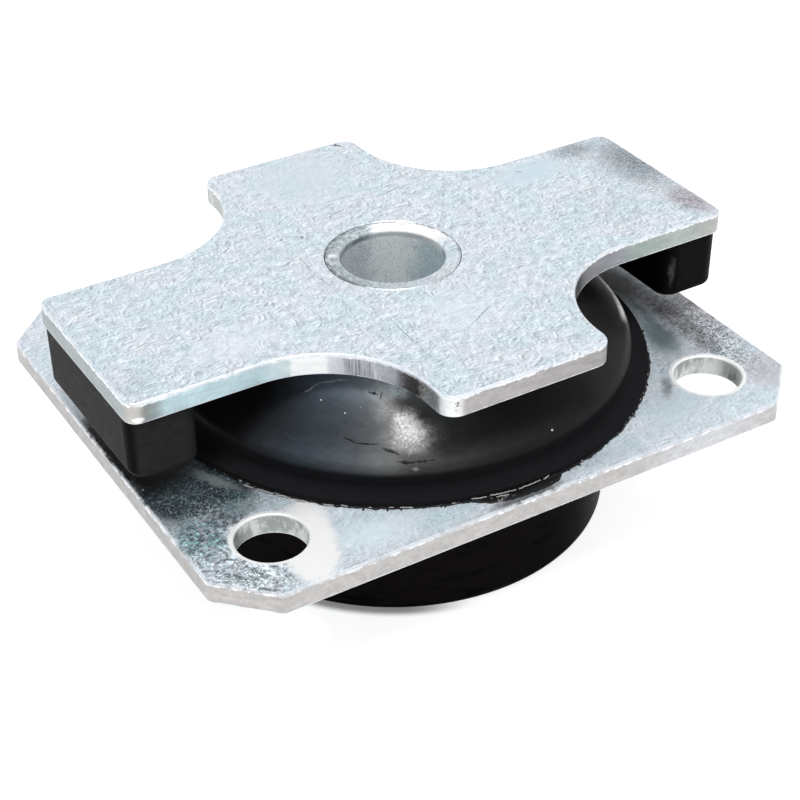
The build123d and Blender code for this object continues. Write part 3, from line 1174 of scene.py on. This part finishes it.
class MOUNT_OT_burrs(bpy.types.Operator):
    """Lay the bright zinc beads along the plates' edges"""

    bl_idname = "mount.burrs"
    bl_label = "Edge burrs"

    def execute(self, context):
        sizes = context.scene.mount_burrs
        zinc = bead_zinc()
        tree = bead_tree()
        inset = sizes.burr_inset
        runs = (
            ("top_plate_rim_burr", cross_path(inset, TOP_HIGH.z - inset), "top_plate"),
            ("top_plate_foot_burr", cross_path(inset, TOP_LOW.z + inset * 0.6), "top_plate"),
            ("base_plate_rim_burr", base_path(inset, BASE_HIGH.z - inset), "base_plate"),
            ("base_plate_foot_burr", base_path(inset, BASE_LOW.z + inset * 0.6), "base_plate"),
        )
        for number, (name, path, slot) in enumerate(runs):
            values = in_metres({"Spacing": 0.5, "Wander": 0.12, "Lump": 2})
            values |= in_metres({"Width": sizes.burr_width, "Height": sizes.burr_width})
            values |= {"Swell": 0.6, "Seed": sizes.seed + number, "Material": zinc}
            bead = grow(name, tree, [path], True, values)
            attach(bead, "root")
        return {"FINISHED"}


# The torn flap on the base plate: where it starts, its thickness there, the strips it is made of, and
# how far out its edge lies at each bearing
FLAP_INNER = 57
FLAP_THICKNESS = 0.3
FLAP_STRIPS = 6
FLAP_EDGE = (
    (-105.5, 57.4),
    (-104, 58.6),
    (-101, 59.6),
    (-97, 60),
    (-92, 59.9),
    (-88, 59.8),
    (-85.5, 59.2),
    (-84, 58),
    (-82, 57.4),
)
FLAP_FROM = FLAP_EDGE[0][0]
FLAP_TO = FLAP_EDGE[-1][0]

# Runs of the pale lip beside the flap
LIP_STRANDS = (
    ((-14.8, -55.4, 35.6), (-13.4, -56.2, 35.6), (-12, -56.6, 35.7)),
    ((-11.2, -56.6, 35.7), (-8.5, -57.4, 35.75), (-5.6, -57.9, 35.75)),
    ((-4.9, -57.9, 35.75), (-2, -58, 35.75), (0.4, -57.8, 35.75)),
    ((1.2, -57.9, 35.7), (2.4, -57.5, 35.7), (3.2, -57, 35.75)),
    ((-10.2, -57.7, 35.6), (-7.6, -58.2, 35.6)),
)

# Pale torn bits round the flange: their first and last bearing, and how far out they lie
PALE_DASHES = (
    (-153, -150.6, 0.8), (-149.6, -146.2, 0.6), (-145.2, -142.4, 0.5), (-141, -139, 0.6),
    (-135.2, -133.2, 0.5), (-131.5, -130.3, 0.2), (-126, -124.8, 0.1), (-122, -121, 0),
    (-119.8, -117.2, 0.1), (-109.2, -108.2, 0.1), (-78.2, -77.8, 0.2), (-64.2, -63.4, 0.1),
    (-59, -58.4, 0.1), (-51.6, -50.8, 0), (-41.4, -40.7, 0.1), (-31, -30.2, 0.6),
    (-24.8, -24.1, 0.7),
)

# How far the flash lies in from the flange's edge, and the torn bits and crumbs above the plate
FLASH_INSET = 0.15
DASH_RISE = 0.3
DASH_STEP = 0.5
CRUMB_COUNT = 70
CRUMB_RISE = 0.08


def flap_mesh(material):
    """A thin torn flap of rubber that lies on the base plate, out from the flange."""
    across = FLAP_STRIPS
    rows = []
    steps = int(FLAP_TO - FLAP_FROM) * 2
    for i in range(steps + 1):
        bearing = FLAP_FROM + (FLAP_TO - FLAP_FROM) * i / steps
        reach = FLAP_EDGE[-1][1]
        for (first, inner), (last, outer) in zip(FLAP_EDGE, FLAP_EDGE[1:]):
            if first <= bearing <= last:
                reach = inner + (outer - inner) * (bearing - first) / (last - first)
        reach += noise.noise((bearing * 0.9, 0, 3)) * 0.35
        row = []
        for j in range(across + 1):
            share = j / across
            radius = FLAP_INNER + (reach - FLAP_INNER) * share
            crown = FLAP_THICKNESS * (1 - share**4) + noise.noise((bearing * 0.5, share * 3, 0)) * 0.1
            angle = math.radians(bearing)
            row.append((radius * math.cos(angle), radius * math.sin(angle), BASE_HIGH.z + max(crown, 0.02)))
        rows.append(row)
    wide = across + 1
    top = [Vector(point) * MM for row in rows for point in row]
    bottom = [Vector((point.x, point.y, BASE_HIGH.z * MM)) for point in top]
    count = len(top)
    faces = []
    for i in range(steps):
        for j in range(across):
            a, b = i * wide + j, i * wide + j + 1
            faces.append((a, b, b + wide, a + wide))
            faces.append((count + a, count + a + wide, count + b + wide, count + b))
    border = [i * wide for i in range(steps + 1)] + [steps * wide + j for j in range(1, wide)]
    border += [i * wide + across for i in range(steps - 1, -1, -1)] + [j for j in range(across - 1, 0, -1)]
    for a, b in zip(border, border[1:] + border[:1]):
        faces.append((a, b, count + b, count + a))
    mesh = bpy.data.meshes.new("flash_flap")
    mesh.from_pydata(top + bottom, [], faces)
    mesh.materials.append(material)
    whole = bmesh.new()
    whole.from_mesh(mesh)
    bmesh.ops.recalc_face_normals(whole, faces=whole.faces)
    for face in whole.faces:
        face.smooth = True
    whole.to_mesh(mesh)
    whole.free()
    flap = bpy.data.objects.new("flash_flap", mesh)
    bpy.context.scene.collection.objects.link(flap)
    return flap


def torn_material(name, tint, pale_share):
    """Torn rubber: dark, with pale fibres over a share of it."""
    f = Finish(name)
    tone = f.noise(f.place, 0.8, 3, 0.6)
    pale = f.noise(f.place, 2.4, 2).rise(0.72 - pale_share, 0.8 - pale_share) * tone.rise(0.45, 0.6)
    colour = f.blend(pale * 0.6, tint, 0.4) * (0.7 + tone * 0.6)
    return f.surface({"Base Color": colour, "Roughness": 0.5, "Specular IOR Level": 0.2}, tone, 0.08)


def crumb_spots(seed):
    """Places of the crumbs that lie round the flange, and their half widths."""
    draw = random.Random(seed)
    spots = []
    widths = []
    for _ in range(CRUMB_COUNT):
        angle = math.radians(draw.uniform(0, 360))
        reach = FLANGE_RADIUS + draw.uniform(0.1, 0.7)
        widths.append(draw.uniform(0.08, 0.3))
        spots.append((reach * math.cos(angle), reach * math.sin(angle), BASE_HIGH.z + CRUMB_RISE))
    return spots, widths


class MOUNT_OT_flash(bpy.types.Operator):
    """Lay the torn rubber flash round the flange, with its flap, its pale lip and its crumbs"""

    bl_idname = "mount.flash"
    bl_label = "Moulding flash"

    def execute(self, context):
        sizes = context.scene.mount_burrs
        dark = torn_material("torn_rubber", (0.006, 0.006, 0.0065), 0.1)
        pale = torn_material("torn_fibre", 0.42, 0.3)
        tree = bead_tree()
        values = in_metres({"Spacing": 0.3, "Wander": 0.6, "Lump": 2.4})
        values |= in_metres({"Width": sizes.flash_width, "Height": sizes.flash_height})
        values |= {"Swell": 0.75, "Seed": sizes.seed, "Material": dark}
        seam_height = BASE_HIGH.z + sizes.flash_height * 0.8
        ring = arc_points((0, 0), FLANGE_RADIUS - FLASH_INSET, 0, 360 - ARC_STEP, seam_height)
        grown = [grow("moulding_flash", tree, [ring], True, values)]
        values |= in_metres({"Wander": 0.35, "Lump": 0.8, "Width": 0.14, "Height": 0.12})
        values["Material"] = pale
        grown.append(grow("flash_lip", tree, LIP_STRANDS, False, values))
        dashes = []
        for first, last, out in PALE_DASHES:
            radius = FLANGE_RADIUS + out
            dashes.append(arc_points((0, 0), radius, first, last, BASE_HIGH.z + DASH_RISE, DASH_STEP))
        grown.append(grow("flash_fibres", tree, dashes, False, values))
        grown.append(flap_mesh(dark))
        spots, widths = crumb_spots(sizes.seed)
        values = in_metres({"Dent": 0.15, "Lump": 0.2}) | {"Seed": sizes.seed, "Material": dark}
        grown.append(grow("flash_crumbs", crumb_tree(), [spots], False, values, widths))
        for piece in grown:
            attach(piece, "root")
        return {"FINISHED"}


# Specks of dust: their places and their radii
DUST = (
    ((-73.88, 16.8, 54.8), 0.16),
    ((-70.2, -16.8, 35), 0.22),
    ((-33.3, -26.7, 49.8), 0.2),
    ((-30.6, -31.9, 48.6), 0.2),
    ((-27.5, -33, 49.6), 0.1),
    ((7, -52.2, 42.5), 0.25),
    ((-73.88, -12.1, 54.9), 0.16),
)


def white_dust():
    """Chalky white of the dust."""
    f = Finish("white_dust")
    tone = f.noise(f.place, 0.2, 1)
    colour = f.blend(tone, (0.95, 0.95, 0.93), 0.7)
    return f.surface({"Base Color": colour, "Roughness": 0.8}, tone, 0.02)


class MOUNT_OT_dust(bpy.types.Operator):
    """Drop the white specks of dust on the rubber and the plates"""

    bl_idname = "mount.dust"
    bl_label = "Dust"

    def execute(self, context):
        sizes = context.scene.mount_burrs
        white = white_dust()
        values = in_metres({"Dent": 0.08, "Lump": 0.15}) | {"Seed": sizes.seed, "Material": white}
        places, radii = zip(*DUST)
        specks = grow("dust_specks", crumb_tree(), [places], False, values, radii)
        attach(specks, "root")
        return {"FINISHED"}


# Stage


class StageSizes(bpy.types.PropertyGroup):
    """Camera, lamps and floor."""

    azimuth: bpy.props.FloatProperty(
        name="Azimuth",
        description="Camera's turn about the mount",
        default=math.radians(-30.662),
        subtype="ANGLE",
    )
    elevation: bpy.props.FloatProperty(
        name="Elevation",
        description="Camera's height above the horizon",
        default=math.radians(34.562),
        subtype="ANGLE",
    )
    roll: bpy.props.FloatProperty(
        name="Roll",
        description="Camera's turn about its own axis",
        default=math.radians(-0.686),
        subtype="ANGLE",
    )
    distance: bpy.props.FloatProperty(
        name="Distance",
        description="From the camera to its target",
        default=0.462463,
        unit="LENGTH",
    )
    target: bpy.props.FloatVectorProperty(
        name="Target",
        description="Point in the middle of the picture",
        default=(0.016993, 0.026287, 0.0005),
        unit="LENGTH",
    )
    lens: bpy.props.FloatProperty(
        name="Lens",
        description="Focal length in millimetres",
        default=82.3,
    )
    sun_strength: bpy.props.FloatProperty(
        name="Sun",
        description="Strength of the overhead lamp",
        default=1.6,
    )
    sky_strength: bpy.props.FloatProperty(
        name="Sky",
        description="Strength of the even light",
        default=0.5,
    )
    floor_glow: bpy.props.FloatProperty(
        name="Floor glow",
        description="White that only the camera and mirrors see",
        default=0.8,
    )


# The camera's sensor in millimetres, and its near clip in metres
SENSOR_WIDTH = 36
NEAR_CLIP = 0.01

# Camera, mirror and glass rays among the Light Path node's outputs
WHITE_FLOOR_RAYS = (0, 3, 6)

# Direction to the overhead lamp from the mount, and its spread in degrees
LAMP_DIRECTION = (-0.11, -0.27, 0.956)
LAMP_SPREAD = 22

# The painted contact shadow on the floor where it meets the drum: the radii of its fades and its direction
STRIP_RADII = (44, 47, 48.6, 51)
STRIP_DIRECTION = (-0.766, -0.643, 0)

# Half size of the floor in metres
FLOOR_HALF = 3


class MOUNT_OT_stage(bpy.types.Operator):
    """Set the camera, the lamps, the sky and the floor"""

    bl_idname = "mount.stage"
    bl_label = "Stage"

    def execute(self, context):
        sizes = context.scene.mount_stage
        scene = context.scene
        self.camera(scene, sizes)
        self.sun(scene, sizes)
        self.sky(scene, sizes)
        self.floor(scene, sizes)
        scene.view_settings.view_transform = "Standard"
        return {"FINISHED"}

    def camera(self, scene, sizes):
        level = math.cos(sizes.elevation)
        across, along = math.sin(sizes.azimuth) * level, -math.cos(sizes.azimuth) * level
        back = Vector((across, along, math.sin(sizes.elevation)))
        right = Vector((-back.y, back.x, 0)).normalized()
        up = back.cross(right)
        turn = Matrix((right, up, back)).transposed() @ Matrix.Rotation(sizes.roll, 3, "Z")
        data = bpy.data.cameras.new("camera")
        data.lens = sizes.lens
        data.sensor_width = SENSOR_WIDTH
        data.clip_start = NEAR_CLIP
        camera = bpy.data.objects.new("camera", data)
        place = Vector(sizes.target) + back * sizes.distance
        camera.matrix_world = Matrix.Translation(place) @ turn.to_4x4()
        scene.collection.objects.link(camera)
        scene.camera = camera

    def sun(self, scene, sizes):
        lamp = bpy.data.lights.new("overhead_lamp", "SUN")
        lamp.energy = sizes.sun_strength
        lamp.angle = math.radians(LAMP_SPREAD)
        placed = bpy.data.objects.new("overhead_lamp", lamp)
        placed.rotation_mode = "QUATERNION"
        placed.rotation_quaternion = Vector(LAMP_DIRECTION).to_track_quat("Z", "Y")
        scene.collection.objects.link(placed)

    def seen(self, tree):
        """1 for camera, mirror and glass rays."""
        kinds = [tree.node("ShaderNodeLightPath", {}, {}, ray) for ray in WHITE_FLOOR_RAYS]
        return kinds[0].most(kinds[1]).most(kinds[2])

    def sky(self, scene, sizes):
        world = bpy.data.worlds.new("studio")
        world.use_nodes = True
        world.node_tree.nodes.clear()
        tree = Tree(world.node_tree)
        strength = self.seen(tree) * (1 - sizes.sky_strength) + sizes.sky_strength
        light = tree.node("ShaderNodeBackground", {}, {"Color": (1, 1, 1, 1), "Strength": strength})
        tree.node("ShaderNodeOutputWorld", {}, {"Surface": light})
        scene.world = world

    def floor(self, scene, sizes):
        f = Finish("pale_floor")
        radius = (f.place * (1, 1, 0)).length()
        facing = f.place.dot(STRIP_DIRECTION) / radius
        shade = radius.band(*STRIP_RADII) * facing.rise(0.76, 0.94)
        pale = f.blend(shade, 0.6, 0.24)
        white = f.blend(shade, 1, 0.22)
        matt = f.node("ShaderNodeBsdfDiffuse", {}, {"Color": pale})
        strength = self.seen(f) * sizes.floor_glow
        glow = f.node("ShaderNodeEmission", {}, {"Color": white, "Strength": strength})
        both = f.node("ShaderNodeAddShader", {}, {0: matt, 1: glow})
        f.node("ShaderNodeOutputMaterial", {}, {"Surface": both})
        mesh = bpy.data.meshes.new("floor")
        corners = [(x * FLOOR_HALF, y * FLOOR_HALF, 0) for x, y in ((-1, -1), (1, -1), (1, 1), (-1, 1))]
        mesh.from_pydata(corners, [], [(0, 1, 2, 3)])
        mesh.materials.append(f.material)
        floor = bpy.data.objects.new("floor", mesh)
        scene.collection.objects.link(floor)


# Panel and registration


PIECES = (
    MOUNT_OT_plates,
    MOUNT_OT_sleeve,
    MOUNT_OT_rubber,
    MOUNT_OT_burrs,
    MOUNT_OT_flash,
    MOUNT_OT_dust,
    MOUNT_OT_stage,
)
SETTINGS = (
    ("mount_plating", PlatingSizes),
    ("mount_rubber", RubberSizes),
    ("mount_burrs", BurrSizes),
    ("mount_stage", StageSizes),
)


class MOUNT_PT_pieces(bpy.types.Panel):
    """The steps that finish the mount"""

    bl_label = "Engine mount"
    bl_idname = "MOUNT_PT_pieces"
    bl_space_type = "VIEW_3D"
    bl_region_type = "UI"
    bl_category = "Mount"

    def draw(self, context):
        for piece in PIECES:
            self.layout.operator(piece.bl_idname)


def register():
    for _, group in SETTINGS:
        bpy.utils.register_class(group)
    for piece in PIECES:
        bpy.utils.register_class(piece)
    bpy.utils.register_class(MOUNT_PT_pieces)
    for name, group in SETTINGS:
        setattr(bpy.types.Scene, name, bpy.props.PointerProperty(type=group))


def unregister():
    for name, _ in SETTINGS:
        delattr(bpy.types.Scene, name)
    bpy.utils.unregister_class(MOUNT_PT_pieces)
    for piece in reversed(PIECES):
        bpy.utils.unregister_class(piece)
    for _, group in reversed(SETTINGS):
        bpy.utils.unregister_class(group)


def main():
    register()
    bpy.ops.mount.plates()
    bpy.ops.mount.sleeve()
    bpy.ops.mount.rubber()
    bpy.ops.mount.burrs()
    bpy.ops.mount.flash()
    bpy.ops.mount.dust()
    bpy.ops.mount.stage()


if __name__ == "__main__":
    main()
